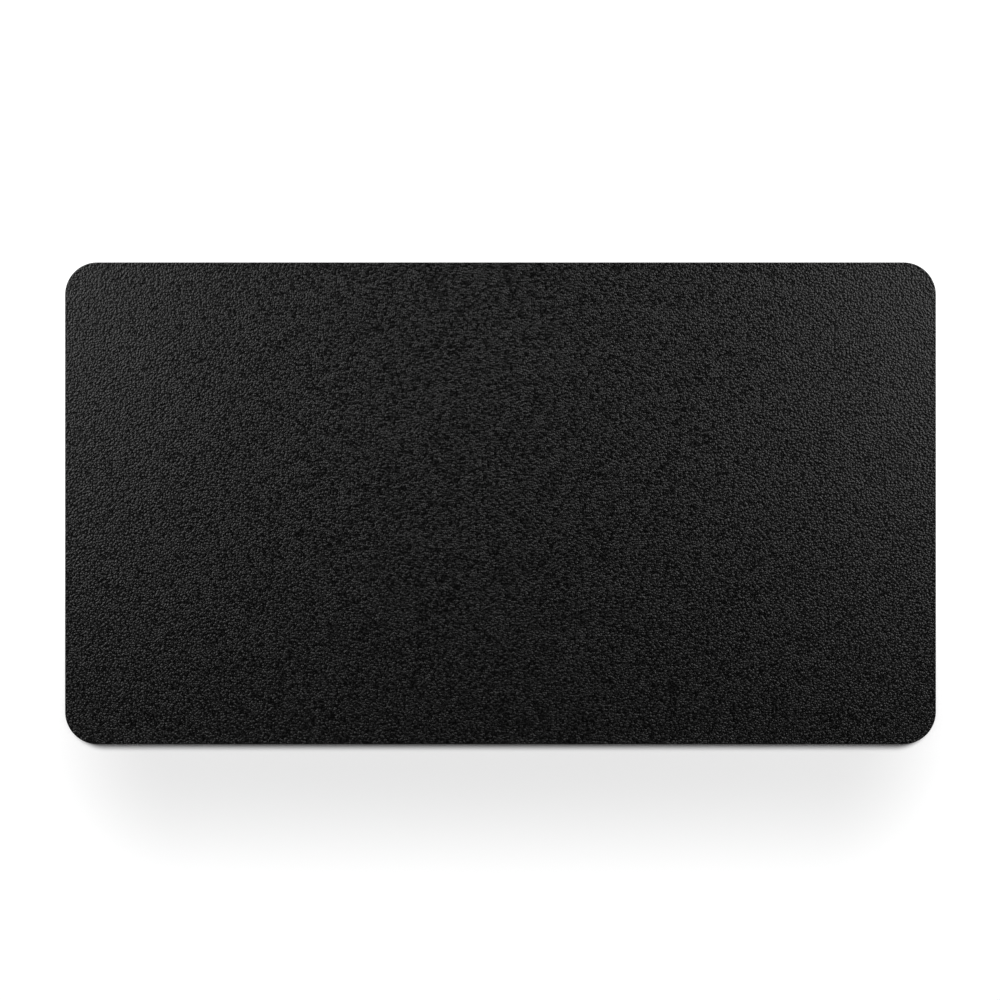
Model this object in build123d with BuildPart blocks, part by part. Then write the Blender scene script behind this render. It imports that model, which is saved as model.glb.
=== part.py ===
from build123d import *
import os

# Desk mat: one flat sheet of leather-look laminate, bonded from seven layers and then die-cut.
# Millimetres. X runs along the length, Y from the front edge to the back edge, Z up.
# The origin is the centre of the underside, where the mat rests on the desk.

# Outline of the die
LENGTH = 900.0
DEPTH = 498.0
CORNER_RADIUS = 33.5

# Thickness of each layer, from the desk up
SUEDE_THICKNESS = 0.44
GLUE_THICKNESS = 0.08
FELT_THICKNESS = 0.45
CLOTH_THICKNESS = 0.35
FOAM_THICKNESS = 0.35
SKIN_THICKNESS = 0.25

# The die drags the skin down over the soft foam, so both slope off towards the cut.
SKIN_EDGE_RADIUS = 0.40
FOAM_SLOPE_WIDTH = 0.45
FOAM_SLOPE_DROP = 0.20

# The nap of the suede lies round the lower edge.
NAP_EDGE_RADIUS = 0.12

# Height of each layer's underside above the desk
SUEDE_Z = 0.0
LOWER_GLUE_Z = SUEDE_Z + SUEDE_THICKNESS
FELT_Z = LOWER_GLUE_Z + GLUE_THICKNESS
UPPER_GLUE_Z = FELT_Z + FELT_THICKNESS
CLOTH_Z = UPPER_GLUE_Z + GLUE_THICKNESS
FOAM_Z = CLOTH_Z + CLOTH_THICKNESS


def die_outline():
    """The rectangle with four equal round corners that every layer is cut to."""
    return RectangleRounded(LENGTH, DEPTH, CORNER_RADIUS)


def save(piece, name):
    """Labels a finished layer and writes it to its own STEP file."""
    piece.part.label = name
    export_step(piece.part, f"parts/{name}.step")


# Suede base: the non-slip microfibre underside that touches the desk.
with BuildPart() as suede_base:
    with BuildSketch(Plane.XY.offset(SUEDE_Z)):
        die_outline()
    extrude(amount=SUEDE_THICKNESS)
    lower_edge = suede_base.faces().sort_by(Axis.Z)[0].edges()
    fillet(lower_edge, radius=NAP_EDGE_RADIUS)

# Lower glue film: hot-melt sheet between the suede and the felt.
with BuildPart() as lower_glue_film:
    with BuildSketch(Plane.XY.offset(LOWER_GLUE_Z)):
        die_outline()
    extrude(amount=GLUE_THICKNESS)

# Felt core: non-woven interlining that gives the mat its body and keeps it flat.
with BuildPart() as felt_core:
    with BuildSketch(Plane.XY.offset(FELT_Z)):
        die_outline()
    extrude(amount=FELT_THICKNESS)

# Upper glue film: hot-melt sheet between the felt and the coated cloth.
with BuildPart() as upper_glue_film:
    with BuildSketch(Plane.XY.offset(UPPER_GLUE_Z)):
        die_outline()
    extrude(amount=GLUE_THICKNESS)

# Backing cloth: the woven carrier of the synthetic leather.
with BuildPart() as backing_cloth:
    with BuildSketch(Plane.XY.offset(CLOTH_Z)):
        die_outline()
    extrude(amount=CLOTH_THICKNESS)

# Foam layer: the soft coat on the cloth, sloped off along the cut.
with BuildPart() as foam_layer:
    with BuildSketch(Plane.XY.offset(FOAM_Z)):
        die_outline()
    extrude(amount=FOAM_THICKNESS)
    foam_top = foam_layer.faces().sort_by(Axis.Z)[-1]
    chamfer(foam_top.edges(), length=FOAM_SLOPE_WIDTH, length2=FOAM_SLOPE_DROP, reference=foam_top)

# Grain skin: the embossed wear surface, which rolls over the foam's sloped edge.
with BuildPart() as grain_skin:
    with BuildSketch(Plane.XY.offset(FOAM_Z)):
        die_outline()
    extrude(amount=FOAM_THICKNESS + SKIN_THICKNESS)
    upper_edge = grain_skin.faces().sort_by(Axis.Z)[-1].edges()
    fillet(upper_edge, radius=SKIN_EDGE_RADIUS)
    add(foam_layer.part, mode=Mode.SUBTRACT)

os.makedirs("parts", exist_ok=True)
save(suede_base, "suede_base")
save(lower_glue_film, "lower_glue_film")
save(felt_core, "felt_core")
save(upper_glue_film, "upper_glue_film")
save(backing_cloth, "backing_cloth")
save(foam_layer, "foam_layer")
save(grain_skin, "grain_skin")
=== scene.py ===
import math

import bpy
import numpy as np
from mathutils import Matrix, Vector


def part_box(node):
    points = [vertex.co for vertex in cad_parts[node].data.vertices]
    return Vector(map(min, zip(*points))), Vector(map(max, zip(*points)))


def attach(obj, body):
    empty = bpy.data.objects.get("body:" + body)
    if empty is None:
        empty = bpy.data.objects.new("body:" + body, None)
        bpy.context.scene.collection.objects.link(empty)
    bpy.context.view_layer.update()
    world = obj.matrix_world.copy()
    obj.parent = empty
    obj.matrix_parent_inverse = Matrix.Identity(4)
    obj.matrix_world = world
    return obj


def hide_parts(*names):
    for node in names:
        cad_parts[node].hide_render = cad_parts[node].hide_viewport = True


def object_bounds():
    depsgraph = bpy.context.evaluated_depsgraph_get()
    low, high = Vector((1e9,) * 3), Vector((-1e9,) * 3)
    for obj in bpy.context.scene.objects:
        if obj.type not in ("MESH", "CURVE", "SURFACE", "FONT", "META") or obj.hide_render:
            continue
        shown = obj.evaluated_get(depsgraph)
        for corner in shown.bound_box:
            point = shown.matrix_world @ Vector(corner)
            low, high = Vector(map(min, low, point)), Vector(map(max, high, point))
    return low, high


# Desk mat: a die-cut laminate with a pebbled leather-look face, laid flat on a pale studio floor.
# Metres. X runs along the length, Y from the front edge to the back edge, Z up.

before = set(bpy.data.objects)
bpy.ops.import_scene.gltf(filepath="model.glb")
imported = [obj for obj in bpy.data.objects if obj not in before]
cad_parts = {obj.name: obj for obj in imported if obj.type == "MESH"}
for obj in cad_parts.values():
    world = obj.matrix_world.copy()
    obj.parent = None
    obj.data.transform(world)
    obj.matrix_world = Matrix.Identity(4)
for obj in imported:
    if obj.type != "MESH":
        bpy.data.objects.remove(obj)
cad_low, cad_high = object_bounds()

MM = 0.001
DRAW = np.random.default_rng(7)

# Outline of the die
HALF_LENGTH = cad_high.x
HALF_DEPTH = cad_high.y
CORNER_RADIUS = 33.5 * MM

# Heights of the layers' faces above the desk, from the node boxes
SUEDE_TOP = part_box("suede_base")[1].z
LOWER_GLUE_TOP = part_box("lower_glue_film")[1].z
FELT_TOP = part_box("felt_core")[1].z
UPPER_GLUE_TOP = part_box("upper_glue_film")[1].z
CLOTH_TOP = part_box("backing_cloth")[1].z
FOAM_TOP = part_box("foam_layer")[1].z
SKIN_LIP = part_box("grain_skin")[0].z
SKIN_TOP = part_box("grain_skin")[1].z

# Grain of the face. PEBBLE_SHIFT is a share of the step, and OPEN_CELL a share of an even cell's area
PEBBLE_STEP = 2.40 * MM
GRAIN_DEPTH = 0.16 * MM
GRAIN_INSET = 2.2 * MM
PEBBLE_SHIFT = 0.29
CROWN_LIFT = 0.55
OPEN_CELL = 0.8

# Rolled edge of the skin, and the slope of the foam under it
ROLL_WIDTH = 1.2 * MM
ROLL_INSETS = (1.2 * MM, 0.80 * MM, 0.45 * MM, 0.18 * MM, 0.03 * MM, 0.0)
ROLL_SINK = 0.02 * MM
LIP_HEIGHT = 0.07 * MM
RIM_LEVEL = 0.8
FOAM_SLOPE = 1.5 * MM

# Cut edges of the lower layers
FUZZ_STEP = 1.0 * MM
FOAM_PIT_DEPTH = 0.14 * MM
YARN_WIDTH = 0.75 * MM
YARN_STEP = 0.25 * MM
YARN_DEPTH = 0.10 * MM
GLUE_BEAD = 0.03 * MM
GLUE_WAVE = 2.3 * MM
GLUE_DRIFT = 9 * MM
FELT_FRAY = 0.16 * MM
FOAM_ROWS = 4
YARN_ROWS = 4
GLUE_ROWS = 3
FELT_ROWS = 5

# Nap of the suede
NAP_STEP = 3.6 * MM
NAP_HEIGHT = 0.03 * MM
NAP_LEAST = 0.5
NAP_WAVE = 7 * MM
NAP_DRIFT = 19 * MM
NAP_ROUND = ((0.12 * MM, 0.0), (0.06 * MM, 0.02 * MM), (0.02 * MM, 0.06 * MM), (0.0, 0.13 * MM))

# How strongly the slow drift bends the glue's beads and the nap's rows
DRIFT_BEND = 2

# The percentiles of the raw heights that become the valleys' floor and the crowns' top
VALLEY_PERCENT = 2
CROWN_PERCENT = 98

# Face's look: cells and wrinkles to the metre, and how far each kind of relief rises
SKIN_CELLS = 442
SKIN_CELL_SPREAD = 0.94
SKIN_CELL_REACH = 0.8
SKIN_WRINKLES = 500
LEVEL_RISE = 0.11 * MM
DOME_RISE = 0.62 * MM
WRINKLE_RISE = 0.27 * MM
WRINKLE_SPAN = (0.3, 0.7)
WRINKLE_SHARE = 0.84
# Painted light and shade of the face's colour: the span of the cell and wrinkle mix that runs from the
# near-black painted shade of the valleys to the paler painted highlight of the crowns, and those two colours
PAINTED_LIGHT_FROM = (0.42, 0.87)
SKIN_VALLEY_SHADE = (0.0002, 0.0002, 0.0002)
SKIN_CROWN_HIGHLIGHT = (0.029, 0.029, 0.029)
SKIN_ROUGHNESS = 0.339
SKIN_SPECULAR = 0.44

# Foam's look
FOAM_CELLS = 2600
FOAM_RIM_SPAN = (0.1, 0.6)
FOAM_DARK = (0.016, 0.016, 0.017)
FOAM_LIGHT = (0.046, 0.046, 0.047)
FOAM_ROUGHNESS = (0.95, 0.75)
FOAM_RISE = 0.08 * MM
FOAM_SPECULAR = 0.25

# Cloth's look: shades to the metre across a yarn and along it
YARN_FINE = 1300
YARN_LONG = 300
WEAVE_SPAN = (0.35, 0.75)
CLOTH_DARK = (0.020, 0.020, 0.021)
CLOTH_LIGHT = (0.062, 0.062, 0.065)
WEAVE_RISE = 0.15 * MM
CLOTH_FINISH = {"Roughness": 0.9, "Specular_IOR_Level": 0.2, "Sheen_Weight": 0.2, "Sheen_Roughness": 0.5}

# Glue's look
GLUE_MARKS = 420
GLUE_MARK_DETAIL = 3.0
GLUE_MARK_ROUGH = 0.6
GLUE_MARK_SPAN = (0.3, 0.7)
GLUE_DARK = (0.050, 0.047, 0.042)
GLUE_LIGHT = (0.105, 0.100, 0.090)
GLUE_ROUGHNESS = (0.28, 0.48)
GLUE_RISE = 0.05 * MM

# Felt's look: shades to the metre across a fibre and along it, for fibres that lie along Y and along X
FIBRE_FINE = 2600
FIBRE_LONG_Y = 380
FIBRE_LONG_X = 420
FIBRE_DETAIL = 3.0
FIBRE_SPAN = (0.12, 0.40)
FELT_DARK = (0.022, 0.022, 0.023)
FELT_LIGHT = (0.080, 0.080, 0.083)
FIBRE_RISE = 0.25 * MM
FELT_FINISH = {"Roughness": 0.95, "Specular_IOR_Level": 0.15, "Sheen_Weight": 0.35, "Sheen_Roughness": 0.5}

# Suede's look: shades to the metre across a hair and along it, and broad strokes to the metre
HAIR_FINE = 900
HAIR_LONG = 160
HAIR_DETAIL = 3.0
STROKES = 16
STROKE_DETAIL = 3.0
STROKE_ROUGH = 0.55
SUEDE_SPAN = (0.35, 0.65)
HAIR_SHARE = 0.6
STROKE_SHARE = 0.4
SUEDE_DARK = (0.022, 0.022, 0.024)
SUEDE_LIGHT = (0.095, 0.095, 0.099)
HAIR_RISE = 0.20 * MM
SUEDE_FINISH = {"Roughness": 0.95, "Specular_IOR_Level": 0.15, "Sheen_Weight": 0.4, "Sheen_Roughness": 0.45}

# Studio
FLOOR_HALF = 6.0
FLOOR_GAP = 0.05 * MM
FLOOR_COLOUR = (0.5, 0.5, 0.5)
FLOOR_GLOW = 0.9
FLOOR_ROUGHNESS = 0.9
WHITE = (1, 1, 1, 1)
# Painted shadow and painted pool of light in the floor's glow: a close painted shadow along the mat's front
# edge, a wider fainter painted shadow in front of it, and a glow a little brighter near the mat than far away
POOL_EDGE = (0.5, 1.8)
SHADE_WIDTH = 8.5 * MM
SHADE_START = 1.0 * MM
SHADE_DARKEST = 0.10
WIDE_SHADOW_WIDTH = 170 * MM
WIDE_SHADOW_INSET = 90 * MM
WIDE_SHADOW_HALF = 40 * MM
WIDE_SHADOW_SHIFT = 25 * MM
WIDE_SHADOW_SHARE = 0.33
SIDE_PLACE = (0.94, 0.43, 0.51)
SIDE_SIZE = 0.85
SIDE_POWER = 6.7
BACK_PLACE = (0.0, 2.82, 1.65)
STRIP_SIZE = (2.7, 0.38)
BACK_POWER = 9.0
FRONT_PLACE = (0.0, -2.4, 1.65)
FRONT_POWER = 2.0
SURROUND_LIGHT = 0.008
SURROUND_SEEN = 0.82
HORIZON_LIGHT = 0.20
HORIZON_BAND = (0.20, 0.55)

# Camera
SENSOR_WIDTH = 36
LENS = 85
VIEW_END = 100
MAT_SHARE = 0.871
EYE_OFFSET = (-0.5 * MM, 3.4 * MM)


# ---------------------------------------------------------------- shapes

def side_line(t, far, half, inset):
    """One side of the outline, from the middle of one corner arc to the middle of the next, for t from -1
    to 1, drawn in by inset. The distance travelled from the side's middle is
    |t| * (straight + radius * pi / 4). Past the straight the turn is a = (distance - straight) / radius, and
    the point is (far - radius + (radius - inset) * cos a,
    min(distance, straight) + (radius - inset) * sin a)."""
    straight = half - CORNER_RADIUS
    distance = np.abs(t) * (straight + CORNER_RADIUS * math.pi / 4)
    turn = np.clip(distance - straight, 0, None) / CORNER_RADIUS
    across = far - CORNER_RADIUS + (CORNER_RADIUS - inset) * np.cos(turn)
    along = np.sign(t) * (np.minimum(distance, straight) + (CORNER_RADIUS - inset) * np.sin(turn))
    return across, along


def die_sheet(u, v, inset):
    """The round-cornered sheet as a function of u and v, both from -1 to 1, drawn in by inset.
    A Coons patch between the four sides: x = |v| * back.x(u) + u * right.x(v) - u * |v| * corner.x,
    y = v * back.y(u) + |u| * right.y(v) - |u| * v * corner.y."""
    back_y, back_x = side_line(u, HALF_DEPTH, HALF_LENGTH, inset)
    right_x, right_y = side_line(v, HALF_LENGTH, HALF_DEPTH, inset)
    arc = (CORNER_RADIUS - inset) * math.sqrt(0.5)
    corner_x = HALF_LENGTH - CORNER_RADIUS + arc
    corner_y = HALF_DEPTH - CORNER_RADIUS + arc
    x = np.abs(v) * back_x + u * right_x - u * np.abs(v) * corner_x
    y = v * back_y + np.abs(u) * right_y - np.abs(u) * v * corner_y
    return x, y


def outline_walk(step):
    """u and v of evenly spaced points once round the die's outline, anticlockwise from the front left corner,
    with the distance travelled to each. One of u and v is 1 or -1 on each side, the other runs evenly."""
    bend = CORNER_RADIUS * math.pi / 2
    long_side = 2 * (HALF_LENGTH - CORNER_RADIUS) + bend
    short_side = 2 * (HALF_DEPTH - CORNER_RADIUS) + bend
    along = np.linspace(-1, 1, int(long_side / step), endpoint=False)
    up = np.linspace(-1, 1, int(short_side / step), endpoint=False)
    edge_x = np.ones(len(along))
    edge_y = np.ones(len(up))
    u = np.concatenate([along, edge_y, -along, -edge_y])
    v = np.concatenate([-edge_x, up, edge_x, -up])
    travel = np.linspace(0, 2 * (long_side + short_side), len(u), endpoint=False)
    return u, v, travel


def new_piece(name, points, faces, node, flat_faces=1):
    """Makes a smooth-shaded mesh object from an array of points and a list of faces, the last few of them
    flat, puts it on the root body and hides the CAD node that it takes the place of."""
    mesh = bpy.data.meshes.new(name)
    mesh.from_pydata(points.tolist(), [], faces)
    smooth = np.ones(len(faces), dtype=bool)
    smooth[-flat_faces:] = False
    mesh.polygons.foreach_set("use_smooth", smooth)
    mesh.update()
    piece = bpy.data.objects.new(name, mesh)
    bpy.context.collection.objects.link(piece)
    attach(piece, "root")
    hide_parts(node)
    return piece


def ring_faces(lower, upper):
    """Quads between two rings of point numbers that run anticlockwise, the lower one first. They face
    outwards."""
    return np.stack([lower, np.roll(lower, -1), np.roll(upper, -1), upper], axis=1)


def grid_rim(number):
    """The point numbers round the border of a grid, anticlockwise."""
    return np.concatenate([number[0, :-1], number[:-1, -1], number[-1, :0:-1], number[:0:-1, 0]])


def add_rings(rim_u, rim_v, rim, profile, points, faces):
    """Carries a profile of (inset, height) along the outline, from the rim of a grid outwards and down, and
    returns the last ring. Each ring is die_sheet(rim_u, rim_v, inset) at its height."""
    ring = rim
    count = sum(len(block) for block in points)
    for inset, height in profile:
        x, y = die_sheet(rim_u, rim_v, inset)
        points.append(np.stack([x, y, np.full(len(rim), height)], axis=-1))
        outer = count + np.arange(len(rim))
        faces.extend(ring_faces(outer, ring).tolist())
        ring = outer
        count += len(rim)
    return ring


def pebble_heights(i, j, odd):
    """Random heights of the grain's lattice points, from 0 in the deepest valley to 1 on the highest crown.
    Each is the point's own draw less the mean of its six neighbours' draws, plus CROWN_LIFT at every third
    point of the lattice, all stretched to 0..1. Crowns and valleys alternate without lining up in rows."""
    draw = DRAW.random(i.shape)
    crown = (i - (j - odd) // 2 - j) % 3 == 0
    beside = np.roll(draw, 1, 1) + np.roll(draw, -1, 1)
    level_rows = np.roll(draw, 1, 0) + np.roll(draw, -1, 0)
    slanted_rows = np.where(odd == 1, np.roll(level_rows, -1, 1), np.roll(level_rows, 1, 1))
    raw = draw - (beside + level_rows + slanted_rows) / 6 + CROWN_LIFT * crown
    low, high = np.percentile(raw, (VALLEY_PERCENT, CROWN_PERCENT))
    return np.clip((raw - low) / (high - low), 0, 1)


def lattice_room(x, y):
    """How much room the lattice leaves round each of its points: the area of a cell there,
    |dx/di * dy/dj - dx/dj * dy/di|, as a share of OPEN_CELL * PEBBLE_STEP^2 * sqrt 0.75, and at most 1. It is
    near 0 where the round corners squeeze the lattice flat."""
    x_by_j, x_by_i = np.gradient(x)
    y_by_j, y_by_i = np.gradient(y)
    area = np.abs(x_by_i * y_by_j - x_by_j * y_by_i)
    return np.clip(area / (OPEN_CELL * PEBBLE_STEP ** 2 * math.sqrt(0.75)), 0, 1)


def pebbled_face():
    """The embossed skin. Its points are a triangular lattice on die_sheet(u, v), each moved by up to
    lattice_room * PEBBLE_STEP * PEBBLE_SHIFT along X and Y, at the height top - GRAIN_DEPTH * (1 - level),
    where level = RIM_LEVEL + lattice_room * (pebble_heights - RIM_LEVEL).
    Past the lattice the surface rolls down to the cut as a quarter ellipse,
    z = top - drop * (1 - sqrt(1 - (1 - inset / ROLL_WIDTH)^2)), and turns under along the foam's slope."""
    columns = int(round(2 * (HALF_LENGTH - GRAIN_INSET) / PEBBLE_STEP))
    rows = int(round(2 * (HALF_DEPTH - GRAIN_INSET) / (PEBBLE_STEP * math.sqrt(0.75))))
    i, j = np.meshgrid(np.arange(columns + 1), np.arange(rows + 1))
    inner = (i > 0) & (i < columns) & (j > 0) & (j < rows)
    odd = j % 2
    u = (i + 0.5 * odd * ((i > 0) & (i < columns))) * 2 / columns - 1
    v = j * 2 / rows - 1

    heights = pebble_heights(i, j, odd)
    x, y = die_sheet(u, v, GRAIN_INSET)
    room = inner * lattice_room(x, y)
    level = RIM_LEVEL + room * (heights - RIM_LEVEL)
    shift = room * PEBBLE_STEP * PEBBLE_SHIFT
    x = x + shift * DRAW.uniform(-1, 1, i.shape)
    y = y + shift * DRAW.uniform(-1, 1, i.shape)
    z = SKIN_TOP - GRAIN_DEPTH * (1 - level)
    points = [np.stack([x, y, z], axis=-1).reshape(-1, 3)]

    number = j * (columns + 1) + i
    a, b = number[:-1, :-1], number[:-1, 1:]
    c, d = number[1:, :-1], number[1:, 1:]
    leaning = odd[:-1, :-1] == 1
    first = np.stack([a, b, np.where(leaning, d, c)], axis=-1)
    second = np.stack([np.where(leaning, a, b), d, c], axis=-1)
    faces = np.concatenate([first.reshape(-1, 3), second.reshape(-1, 3)]).tolist()

    roll_drop = SKIN_TOP - ROLL_SINK - SKIN_LIP - LIP_HEIGHT
    profile = []
    for inset in ROLL_INSETS:
        lean = 1 - inset / ROLL_WIDTH
        profile.append((inset, SKIN_TOP - ROLL_SINK - roll_drop * (1 - math.sqrt(1 - lean ** 2))))
    profile.append((0.0, SKIN_LIP))
    profile.append((FOAM_SLOPE, FOAM_TOP))
    rim = grid_rim(number)
    last = add_rings(u.reshape(-1)[rim], v.reshape(-1)[rim], rim, profile, points, faces)
    faces.append(last[::-1].tolist())

    place = np.concatenate(points)
    piece = new_piece("pebbled_skin", place, faces, "grain_skin")
    levels = np.full(len(place), RIM_LEVEL, dtype=np.float32)
    levels[:level.size] = level.reshape(-1)
    grain = piece.data.attributes.new("pebble_level", "FLOAT", "POINT")
    grain.data.foreach_set("value", levels)
    return piece


def cut_layer(name, node, low, high, step, rows, recess, slope=None):
    """A layer as the die left it: flat above and below, with a cut edge carried along the outline. At the
    distance travelled s and the share h of the height, the edge is drawn in by recess(s, h). Where there is a
    slope of (width, height), the top is that much narrower and higher than the cut."""
    u, v, travel = outline_walk(step)
    share = np.linspace(0, 1, rows)[:, None]
    inset = recess(travel[None, :], share)
    height = np.broadcast_to(low + (high - low) * share, inset.shape)
    if slope is not None:
        inset = np.vstack([inset, np.full(len(u), slope[0])])
        height = np.vstack([height, np.full(len(u), slope[1])])
    x, y = die_sheet(u, v, inset)
    points = np.stack([x, y, height], axis=-1).reshape(-1, 3)
    rings = np.arange(len(points)).reshape(inset.shape)
    faces = [ring_faces(lower, upper) for lower, upper in zip(rings[:-1], rings[1:])]
    faces = np.concatenate(faces).tolist()
    faces.append(rings[-1].tolist())
    faces.append(rings[0][::-1].tolist())
    return new_piece(name, points, faces, node, flat_faces=2)


def foam_recess(travel, share):
    """Cut foam: opened cells, each point set back by the square of a random share of FOAM_PIT_DEPTH."""
    return FOAM_PIT_DEPTH * DRAW.random((len(share), travel.size)) ** 2


def cloth_recess(travel, share):
    """Cut yarn ends, side by side: YARN_DEPTH * (1 - |sin(pi * s / YARN_WIDTH)| * 4 h (1 - h))."""
    bulge = np.abs(np.sin(math.pi * travel / YARN_WIDTH)) * 4 * share * (1 - share)
    return YARN_DEPTH * (1 - bulge)


def glue_recess(travel, share):
    """Glue pressed out to the cut in uneven beads, the same at every height:
    GLUE_BEAD * (1 + sin(s / GLUE_WAVE + DRIFT_BEND * sin(s / GLUE_DRIFT))) / 2."""
    wander = travel / GLUE_WAVE + DRIFT_BEND * np.sin(travel / GLUE_DRIFT)
    bead = GLUE_BEAD * (1 + np.sin(wander)) / 2
    return np.repeat(bead, len(share), axis=0)


def felt_recess(travel, share):
    """Cut felt: frayed fibres, each point set back by a random share of FELT_FRAY."""
    return FELT_FRAY * DRAW.random((len(share), travel.size))


def napped_base():
    """The suede base. Its underside is a grid on die_sheet(u, v) with the nap brushed into low, broad rows,
    z = NAP_HEIGHT * share * (1 + sin(x / NAP_WAVE + DRIFT_BEND * sin(y / NAP_DRIFT))) / 2, where share is
    random from NAP_LEAST to 1. The nap rounds over the lower edge, and the top is flat."""
    columns = int(round(2 * HALF_LENGTH / NAP_STEP))
    rows = int(round(2 * HALF_DEPTH / NAP_STEP))
    i, j = np.meshgrid(np.arange(columns + 1), np.arange(rows + 1))
    inner = (i > 0) & (i < columns) & (j > 0) & (j < rows)
    u = i * 2 / columns - 1
    v = j * 2 / rows - 1
    x, y = die_sheet(u, v, NAP_ROUND[0][0])
    brushed = (1 + np.sin(x / NAP_WAVE + DRIFT_BEND * np.sin(y / NAP_DRIFT))) / 2
    z = inner * NAP_HEIGHT * brushed * DRAW.uniform(NAP_LEAST, 1.0, i.shape)
    points = [np.stack([x, y, z], axis=-1).reshape(-1, 3)]

    number = j * (columns + 1) + i
    quads = np.stack([number[:-1, :-1], number[1:, :-1], number[1:, 1:], number[:-1, 1:]], axis=-1)
    faces = quads.reshape(-1, 4).tolist()
    rim = grid_rim(number)
    rim_u = u.reshape(-1)[rim]
    rim_v = v.reshape(-1)[rim]
    profile = NAP_ROUND[1:] + ((0.0, SUEDE_TOP),)
    side = []
    last = add_rings(rim_u, rim_v, rim, profile, points, side)
    faces += [face[::-1] for face in side]
    faces.append(last.tolist())
    return new_piece("napped_suede", np.concatenate(points), faces, "suede_base")


# ---------------------------------------------------------------- materials

class Nodes:
    """A short way to build a material's node tree."""

    def __init__(self, name):
        """Makes the material, with a Principled shader and Object coordinates to place patterns by."""
        self.material = bpy.data.materials.new(name)
        self.material.use_nodes = True
        self.tree = self.material.node_tree
        self.shader = self.tree.nodes["Principled BSDF"]
        self.place = self.add("ShaderNodeTexCoord").outputs["Object"]

    def add(self, kind, **values):
        """Adds a node and sets its properties."""
        node = self.tree.nodes.new(kind)
        for key, value in values.items():
            setattr(node, key, value)
        return node

    def link(self, source, target):
        """Joins an output to an input."""
        self.tree.links.new(source, target)

    def set(self, **values):
        """Sets the shader's own sockets, named with underscores for spaces."""
        for key, value in values.items():
            self.shader.inputs[key.replace("_", " ")].default_value = value

    def noise(self, scale, detail=2.0, rough=0.5):
        """Fractal noise with this many features to the metre."""
        node = self.add("ShaderNodeTexNoise")
        node.inputs["Scale"].default_value = scale
        node.inputs["Detail"].default_value = detail
        node.inputs["Roughness"].default_value = rough
        self.link(self.place, node.inputs["Vector"])
        return node.outputs["Fac"]

    def cells(self, scale, spread=1.0):
        """The distance from the centre of the nearest of many scattered cells, this many to the metre."""
        node = self.add("ShaderNodeTexVoronoi", feature="F1")
        node.inputs["Scale"].default_value = scale
        node.inputs["Randomness"].default_value = spread
        self.link(self.place, node.inputs["Vector"])
        return node.outputs["Distance"]

    def stretched_noise(self, across, along, detail=2.0):
        """Noise drawn out into fibres: across features to the metre in X and Z, along in Y."""
        mapping = self.add("ShaderNodeMapping")
        mapping.inputs["Scale"].default_value = (across, along, across)
        self.link(self.place, mapping.inputs["Vector"])
        node = self.add("ShaderNodeTexNoise")
        node.inputs["Scale"].default_value = 1.0
        node.inputs["Detail"].default_value = detail
        self.link(mapping.outputs["Vector"], node.inputs["Vector"])
        return node.outputs["Fac"]

    def span(self, value, low, high, to_low, to_high, smooth=False):
        """Maps a value from one range to another, and holds it at the ends."""
        node = self.add("ShaderNodeMapRange")
        if smooth:
            node.interpolation_type = "SMOOTHSTEP"
        ends = (("From Min", low), ("From Max", high), ("To Min", to_low), ("To Max", to_high))
        for key, number in ends:
            node.inputs[key].default_value = number
        self.link(value, node.inputs["Value"])
        return node.outputs["Result"]

    def math(self, operation, a, b=0.0):
        """One step of arithmetic on outputs or plain numbers."""
        node = self.add("ShaderNodeMath", operation=operation)
        for socket, value in zip(node.inputs, (a, b)):
            if isinstance(value, (int, float)):
                socket.default_value = value
            else:
                self.link(value, socket)
        return node.outputs["Value"]

    def bump(self, height, distance, normal=None):
        """Tilts the surface as if it rose by distance times height."""
        node = self.add("ShaderNodeBump")
        node.inputs["Strength"].default_value = 1.0
        node.inputs["Distance"].default_value = distance
        self.link(height, node.inputs["Height"])
        if normal is not None:
            self.link(normal, node.inputs["Normal"])
        return node.outputs["Normal"]

    def blend_colours(self, share, dark, light):
        """A colour between two, by share."""
        node = self.add("ShaderNodeMix", data_type="RGBA")
        node.inputs["A"].default_value = (*dark, 1)
        node.inputs["B"].default_value = (*light, 1)
        self.link(share, node.inputs["Factor"])
        return node.outputs["Result"]


def grained_skin_material():
    """Black embossed polyurethane: glossy enough for each pebble to catch the light. Its colour holds painted
    light and shade: a paler painted highlight on the crowns and near-black painted shade in the valleys.
    Cells and wrinkles make most of the grain that is seen, over the shallow relief of the mesh. Their rises
    are larger than a real embossing's, for contrast."""
    n = Nodes("black_grained_polyurethane")
    level = n.add("ShaderNodeAttribute", attribute_name="pebble_level").outputs["Fac"]
    dome = n.span(n.cells(SKIN_CELLS, SKIN_CELL_SPREAD), 0.0, SKIN_CELL_REACH, 1.0, 0.0, smooth=True)
    wrinkle = n.noise(SKIN_WRINKLES, 0.0)
    fine = n.span(wrinkle, *WRINKLE_SPAN, 0.0, WRINKLE_SHARE)
    # Painted light and shade: the colour turns paler as a painted highlight where the wrinkles and cells
    # rise, and near-black as painted shade in the valleys
    painted_light_and_shade = n.math("ADD", fine, n.math("MULTIPLY", dome, 1 - WRINKLE_SHARE))
    painted_light_and_shade = n.span(painted_light_and_shade, *PAINTED_LIGHT_FROM, 0.0, 1.0)
    n.link(n.blend_colours(painted_light_and_shade, SKIN_VALLEY_SHADE, SKIN_CROWN_HIGHLIGHT), n.shader.inputs["Base Color"])
    relief = n.bump(level, LEVEL_RISE)
    relief = n.bump(dome, DOME_RISE, relief)
    n.link(n.bump(wrinkle, WRINKLE_RISE, relief), n.shader.inputs["Normal"])
    n.set(Roughness=SKIN_ROUGHNESS, Specular_IOR_Level=SKIN_SPECULAR)
    return n.material


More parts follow.
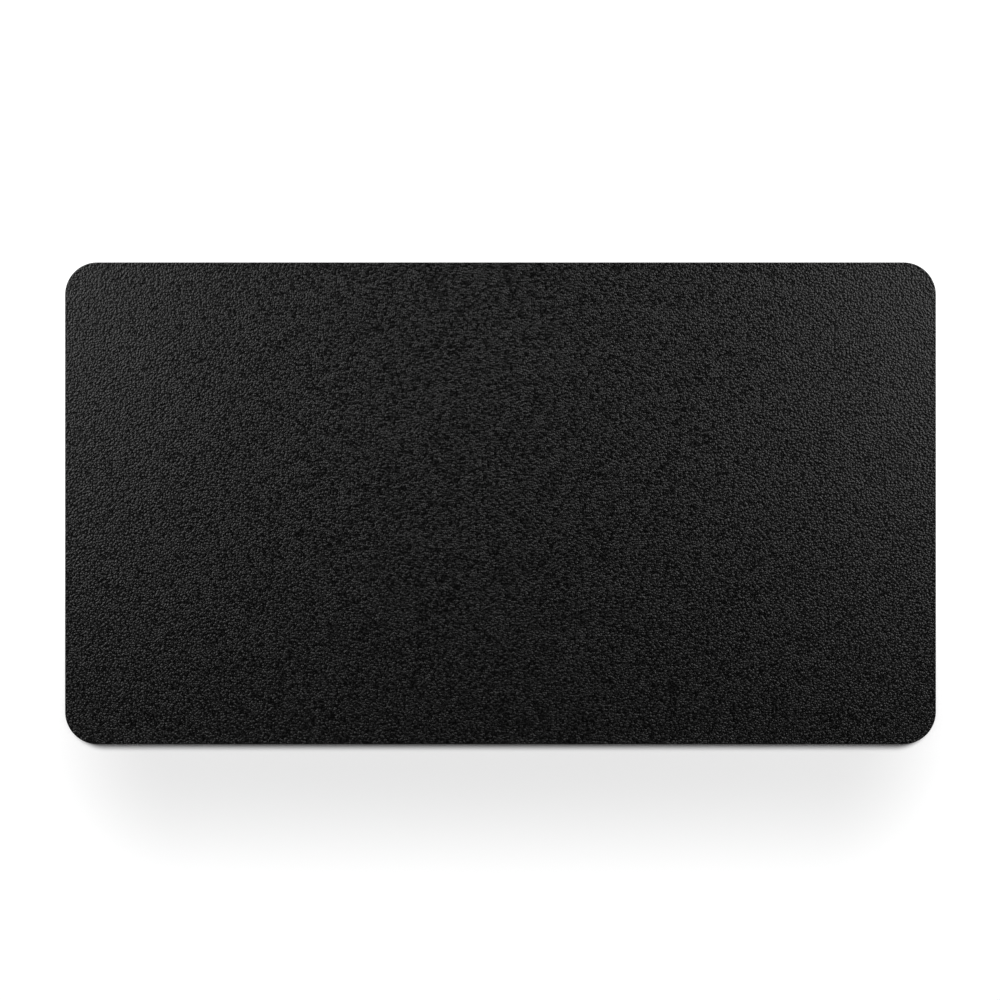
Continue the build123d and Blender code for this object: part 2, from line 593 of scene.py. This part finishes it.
def foam_material():
    """Dark, matte foam, with paler rims round its opened cells."""
    n = Nodes("cut_foam")
    cell = n.span(n.cells(FOAM_CELLS), *FOAM_RIM_SPAN, 0.0, 1.0, smooth=True)
    n.link(n.blend_colours(cell, FOAM_DARK, FOAM_LIGHT), n.shader.inputs["Base Color"])
    n.link(n.span(cell, 0.0, 1.0, *FOAM_ROUGHNESS), n.shader.inputs["Roughness"])
    n.link(n.bump(cell, FOAM_RISE), n.shader.inputs["Normal"])
    n.set(Specular_IOR_Level=FOAM_SPECULAR)
    return n.material


def cloth_material():
    """Black woven cloth: a fine weave of crossing yarns, with a low constant sheen."""
    n = Nodes("woven_backing_cloth")
    warp = n.stretched_noise(YARN_FINE, YARN_LONG)
    weft = n.stretched_noise(YARN_LONG, YARN_FINE)
    weave = n.math("MAXIMUM", warp, weft)
    shade = n.span(weave, *WEAVE_SPAN, 0.0, 1.0, smooth=True)
    n.link(n.blend_colours(shade, CLOTH_DARK, CLOTH_LIGHT), n.shader.inputs["Base Color"])
    n.link(n.bump(weave, WEAVE_RISE), n.shader.inputs["Normal"])
    n.set(**CLOTH_FINISH)
    return n.material


def glue_material():
    """Hot-melt adhesive: waxy, greyish and a little glossy, with faint flow marks."""
    n = Nodes("hot_melt_adhesive")
    flow = n.noise(GLUE_MARKS, GLUE_MARK_DETAIL, GLUE_MARK_ROUGH)
    shade = n.span(flow, *GLUE_MARK_SPAN, 0.0, 1.0)
    n.link(n.blend_colours(shade, GLUE_DARK, GLUE_LIGHT), n.shader.inputs["Base Color"])
    n.link(n.span(flow, *GLUE_MARK_SPAN, *GLUE_ROUGHNESS), n.shader.inputs["Roughness"])
    n.link(n.bump(flow, GLUE_RISE), n.shader.inputs["Normal"])
    return n.material


def felt_material():
    """Charcoal needled felt: matted fibres in two directions, flecked lighter and darker."""
    n = Nodes("charcoal_needled_felt")
    lengthways = n.stretched_noise(FIBRE_FINE, FIBRE_LONG_Y, FIBRE_DETAIL)
    crossways = n.stretched_noise(FIBRE_LONG_X, FIBRE_FINE, FIBRE_DETAIL)
    fibre = n.math("MULTIPLY", lengthways, crossways)
    shade = n.span(fibre, *FIBRE_SPAN, 0.0, 1.0)
    n.link(n.blend_colours(shade, FELT_DARK, FELT_LIGHT), n.shader.inputs["Base Color"])
    n.link(n.bump(fibre, FIBRE_RISE), n.shader.inputs["Normal"])
    n.set(**FELT_FINISH)
    return n.material


def suede_material():
    """Dark grey microfibre suede: short nap brushed into streaks, with broad light and dark strokes."""
    n = Nodes("dark_microfibre_suede")
    nap = n.stretched_noise(HAIR_FINE, HAIR_LONG, HAIR_DETAIL)
    stroke = n.noise(STROKES, STROKE_DETAIL, STROKE_ROUGH)
    hairs = n.span(nap, *SUEDE_SPAN, 0.0, HAIR_SHARE)
    strokes = n.span(stroke, *SUEDE_SPAN, 0.0, STROKE_SHARE)
    shade = n.math("ADD", hairs, strokes)
    n.link(n.blend_colours(shade, SUEDE_DARK, SUEDE_LIGHT), n.shader.inputs["Base Color"])
    n.link(n.bump(nap, HAIR_RISE), n.shader.inputs["Normal"])
    n.set(**SUEDE_FINISH)
    return n.material


# ---------------------------------------------------------------- studio

def outline_distance(n, narrower, shorter, forward):
    """How far a floor point is outside a round-cornered rectangle: the length of (|p| - corner centre), where
    negative parts count as nothing, less the corner radius. The rectangle is the die's outline made narrower
    and shorter by those amounts at each edge, and moved forward."""
    parts = n.add("ShaderNodeSeparateXYZ")
    n.link(n.place, parts.inputs["Vector"])
    across = n.math("ABSOLUTE", parts.outputs["X"])
    along = n.math("ABSOLUTE", n.math("ADD", parts.outputs["Y"], forward))
    across = n.math("MAXIMUM", n.math("SUBTRACT", across, HALF_LENGTH - narrower - CORNER_RADIUS), 0.0)
    along = n.math("MAXIMUM", n.math("SUBTRACT", along, HALF_DEPTH - shorter - CORNER_RADIUS), 0.0)
    squares = n.math("ADD", n.math("MULTIPLY", across, across), n.math("MULTIPLY", along, along))
    return n.math("SUBTRACT", n.math("SQRT", squares), CORNER_RADIUS)


def floor_material():
    """A white glowing floor. Its glow holds painted shadow and a painted pool of light: dimmer along the
    mat's front edge as a painted shadow, fainter and wider in front of it, and a little brighter near the mat
    than far off."""
    n = Nodes("white_glowing_floor")
    near = outline_distance(n, SHADE_WIDTH, SHADE_WIDTH / 2, SHADE_WIDTH / 2)
    far = outline_distance(n, WIDE_SHADOW_INSET, HALF_DEPTH - WIDE_SHADOW_HALF, HALF_DEPTH - WIDE_SHADOW_SHIFT)
    # Painted shadow: the floor's glow is dimmed close to the mat's front edge and, more faintly, in a wide
    # band in front of it
    close_shade = n.span(near, SHADE_START, SHADE_WIDTH, SHADE_DARKEST, 1.0, smooth=True)
    wide_shade = n.span(far, 0.0, WIDE_SHADOW_WIDTH, 1 - WIDE_SHADOW_SHARE, 1.0, smooth=True)
    # Painted pool of light: the glow is a little brighter near the mat than far from it
    painted_light_pool = n.span(far, *POOL_EDGE, FLOOR_GLOW, SURROUND_SEEN, smooth=True)
    glow = n.math("MULTIPLY", n.math("MULTIPLY", close_shade, wide_shade), painted_light_pool)
    n.link(glow, n.shader.inputs["Emission Strength"])
    n.set(Base_Color=(*FLOOR_COLOUR, 1), Roughness=FLOOR_ROUGHNESS, Specular_IOR_Level=0.0)
    n.set(Emission_Color=WHITE)
    return n.material


def floor():
    """A flat square floor, a hair below the mat's underside."""
    corners = ((-1, -1), (1, -1), (1, 1), (-1, 1))
    mesh = bpy.data.meshes.new("studio_floor")
    points = [(x * FLOOR_HALF, y * FLOOR_HALF, -FLOOR_GAP) for x, y in corners]
    mesh.from_pydata(points, [], [(0, 1, 2, 3)])
    piece = bpy.data.objects.new("studio_floor", mesh)
    bpy.context.collection.objects.link(piece)
    piece.data.materials.append(floor_material())


def softbox(name, place, size, power):
    """A rectangular soft light at a place, aimed at the middle of the mat."""
    light = bpy.data.lights.new(name, "AREA")
    light.shape = "RECTANGLE"
    light.size, light.size_y = size
    light.energy = power
    box = bpy.data.objects.new(name, light)
    bpy.context.collection.objects.link(box)
    box.location = place
    box.rotation_euler = (-Vector(place)).to_track_quat("-Z", "Y").to_euler()


def sky():
    """A pale surround for the camera. The mat sees only a dim glow near the horizon, fading out towards the
    zenith with the height of the direction."""
    world = bpy.data.worlds.new("studio")
    bpy.context.scene.world = world
    world.use_nodes = True
    tree = world.node_tree
    direction = tree.nodes.new("ShaderNodeTexCoord")
    parts = tree.nodes.new("ShaderNodeSeparateXYZ")
    band = tree.nodes.new("ShaderNodeMapRange")
    band.interpolation_type = "SMOOTHSTEP"
    band.inputs["From Min"].default_value = HORIZON_BAND[0]
    band.inputs["From Max"].default_value = HORIZON_BAND[1]
    band.inputs["To Min"].default_value = HORIZON_LIGHT
    band.inputs["To Max"].default_value = SURROUND_LIGHT
    rays = tree.nodes.new("ShaderNodeLightPath")
    strength = tree.nodes.new("ShaderNodeMapRange")
    strength.inputs["To Max"].default_value = SURROUND_SEEN
    background = tree.nodes["Background"]
    background.inputs["Color"].default_value = WHITE
    tree.links.new(direction.outputs["Generated"], parts.inputs["Vector"])
    tree.links.new(parts.outputs["Z"], band.inputs["Value"])
    tree.links.new(band.outputs["Result"], strength.inputs["To Min"])
    tree.links.new(rays.outputs["Is Camera Ray"], strength.inputs["Value"])
    tree.links.new(strength.outputs["Result"], background.inputs["Strength"])


def camera():
    """Looks straight down from above the middle, with the mat MAT_SHARE as long as the view is wide."""
    data = bpy.data.cameras.new("camera")
    data.sensor_width = SENSOR_WIDTH
    data.lens = LENS
    data.clip_end = VIEW_END
    far = 2 * HALF_LENGTH / MAT_SHARE * LENS / SENSOR_WIDTH
    eye = bpy.data.objects.new("camera", data)
    bpy.context.collection.objects.link(eye)
    eye.location = (EYE_OFFSET[0], EYE_OFFSET[1], SKIN_TOP + far)
    bpy.context.scene.camera = eye


# ---------------------------------------------------------------- assembly

def dress(piece, material):
    piece.data.materials.append(material)


glue = glue_material()

skin = pebbled_face()
dress(skin, grained_skin_material())

foam = cut_layer("foam_coat", "foam_layer", CLOTH_TOP, SKIN_LIP, FUZZ_STEP, FOAM_ROWS, foam_recess,
                 slope=(FOAM_SLOPE, FOAM_TOP))
dress(foam, foam_material())

cloth = cut_layer("woven_backing", "backing_cloth", UPPER_GLUE_TOP, CLOTH_TOP, YARN_STEP, YARN_ROWS,
                  cloth_recess)
dress(cloth, cloth_material())

upper_glue = cut_layer("upper_glue", "upper_glue_film", FELT_TOP, UPPER_GLUE_TOP, FUZZ_STEP, GLUE_ROWS,
                       glue_recess)
dress(upper_glue, glue)

felt = cut_layer("needled_felt", "felt_core", LOWER_GLUE_TOP, FELT_TOP, FUZZ_STEP, FELT_ROWS, felt_recess)
dress(felt, felt_material())

lower_glue = cut_layer("lower_glue", "lower_glue_film", SUEDE_TOP, LOWER_GLUE_TOP, FUZZ_STEP, GLUE_ROWS,
                       glue_recess)
dress(lower_glue, glue)

suede = napped_base()
dress(suede, suede_material())

floor()
for side, name in ((-1, "left_softbox"), (1, "right_softbox")):
    place = (side * SIDE_PLACE[0], SIDE_PLACE[1], SIDE_PLACE[2])
    softbox(name, place, (SIDE_SIZE, SIDE_SIZE), SIDE_POWER)
softbox("back_strip", BACK_PLACE, STRIP_SIZE, BACK_POWER)
softbox("front_strip", FRONT_PLACE, STRIP_SIZE, FRONT_POWER)
sky()
camera()
bpy.context.scene.view_settings.view_transform = "Standard"
